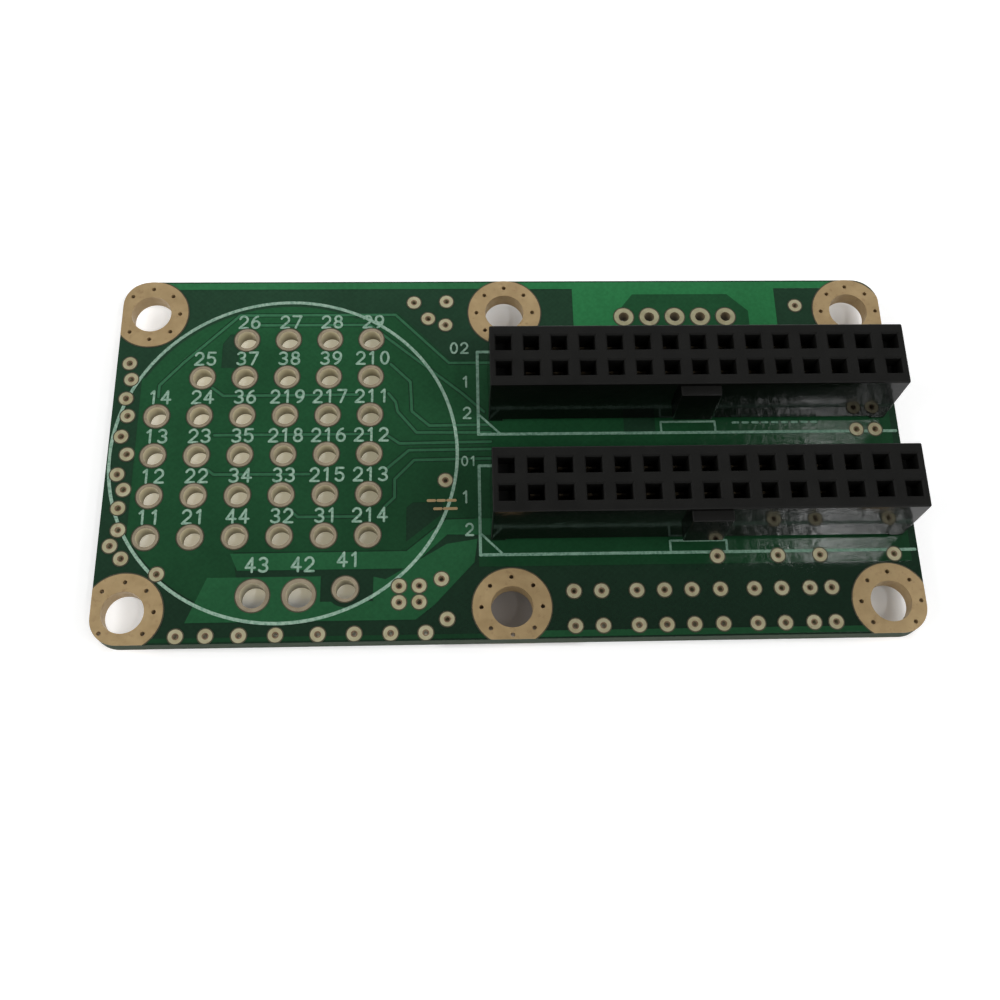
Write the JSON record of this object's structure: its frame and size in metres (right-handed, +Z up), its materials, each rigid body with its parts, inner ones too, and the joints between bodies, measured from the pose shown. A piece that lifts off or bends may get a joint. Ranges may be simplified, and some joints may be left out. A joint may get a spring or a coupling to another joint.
{
  "type": "power adapter board",
  "caption": "Green circuit board with plated mounting holes, a field of round wire pads ringed by a printed circle, and parallel keyed black sockets.",
  "frame": {"origin": "centre of the mounting-hole pattern, on the board's underside", "axes": "+X along the board from the wire pads to the sockets, +Y to the rear edge with the spare header, +Z up out of the sockets' mouths"},
  "size_m": [0.0748, 0.0363, 0.0112],
  "materials": {
    "laminate": "semi-gloss green solder mask over copper and glass laminate",
    "land_gold": "dull gold plating, slightly worn",
    "pad_finish": "pale dull plating",
    "housing_plastic": "black moulded plastic, satin on the sides",
    "contact_metal": "plated spring metal",
    "solder": "bright smooth solder"
  },
  "bodies": {
    "root": {"board": "laminate", "mount_land_front_left": "land_gold", "mount_land_front_middle": "land_gold", "mount_land_front_right": "land_gold", "mount_land_rear_left": "land_gold", "mount_land_rear_middle": "land_gold", "mount_land_rear_right": "land_gold", "wire_pads_row_1": "pad_finish", "wire_pads_row_2": "pad_finish", "wire_pads_row_3": "pad_finish", "wire_pads_row_4": "pad_finish", "wire_pads_row_5": "pad_finish", "wire_pads_row_6": "pad_finish", "supply_pad_1": "pad_finish", "supply_pad_2": "pad_finish", "supply_pad_3": "pad_finish", "header_pads": "pad_finish", "vias_left_edge": "pad_finish", "vias_front_edge": "pad_finish", "vias_supply": "pad_finish", "vias_rear": "pad_finish", "via_spare_header": "pad_finish", "vias_return_front": "pad_finish", "vias_return_rear": "pad_finish", "vias_sockets": "pad_finish", "front_socket_housing": "housing_plastic", "rear_socket_housing": "housing_plastic", "front_socket_cross_walls": "housing_plastic", "rear_socket_cross_walls": "housing_plastic", "front_socket_pads": "pad_finish", "rear_socket_pads": "pad_finish", "front_socket_solder": "solder", "rear_socket_solder": "solder", "front_contacts_01": "contact_metal", "front_contacts_02": "contact_metal", "front_contacts_03": "contact_metal", "front_contacts_04": "contact_metal", "front_contacts_05": "contact_metal", "front_contacts_06": "contact_metal", "front_contacts_07": "contact_metal", "front_contacts_08": "contact_metal", "front_contacts_09": "contact_metal", "front_contacts_10": "contact_metal", "front_contacts_11": "contact_metal", "front_contacts_12": "contact_metal", "front_contacts_13": "contact_metal", "rear_contacts_01": "contact_metal", "rear_contacts_02": "contact_metal", "rear_contacts_03": "contact_metal", "rear_contacts_04": "contact_metal", "rear_contacts_05": "contact_metal", "rear_contacts_06": "contact_metal", "rear_contacts_07": "contact_metal", "rear_contacts_08": "contact_metal", "rear_contacts_09": "contact_metal", "rear_contacts_10": "contact_metal", "rear_contacts_11": "contact_metal", "rear_contacts_12": "contact_metal", "rear_contacts_13": "contact_metal"}
  },
  "joints": []
}
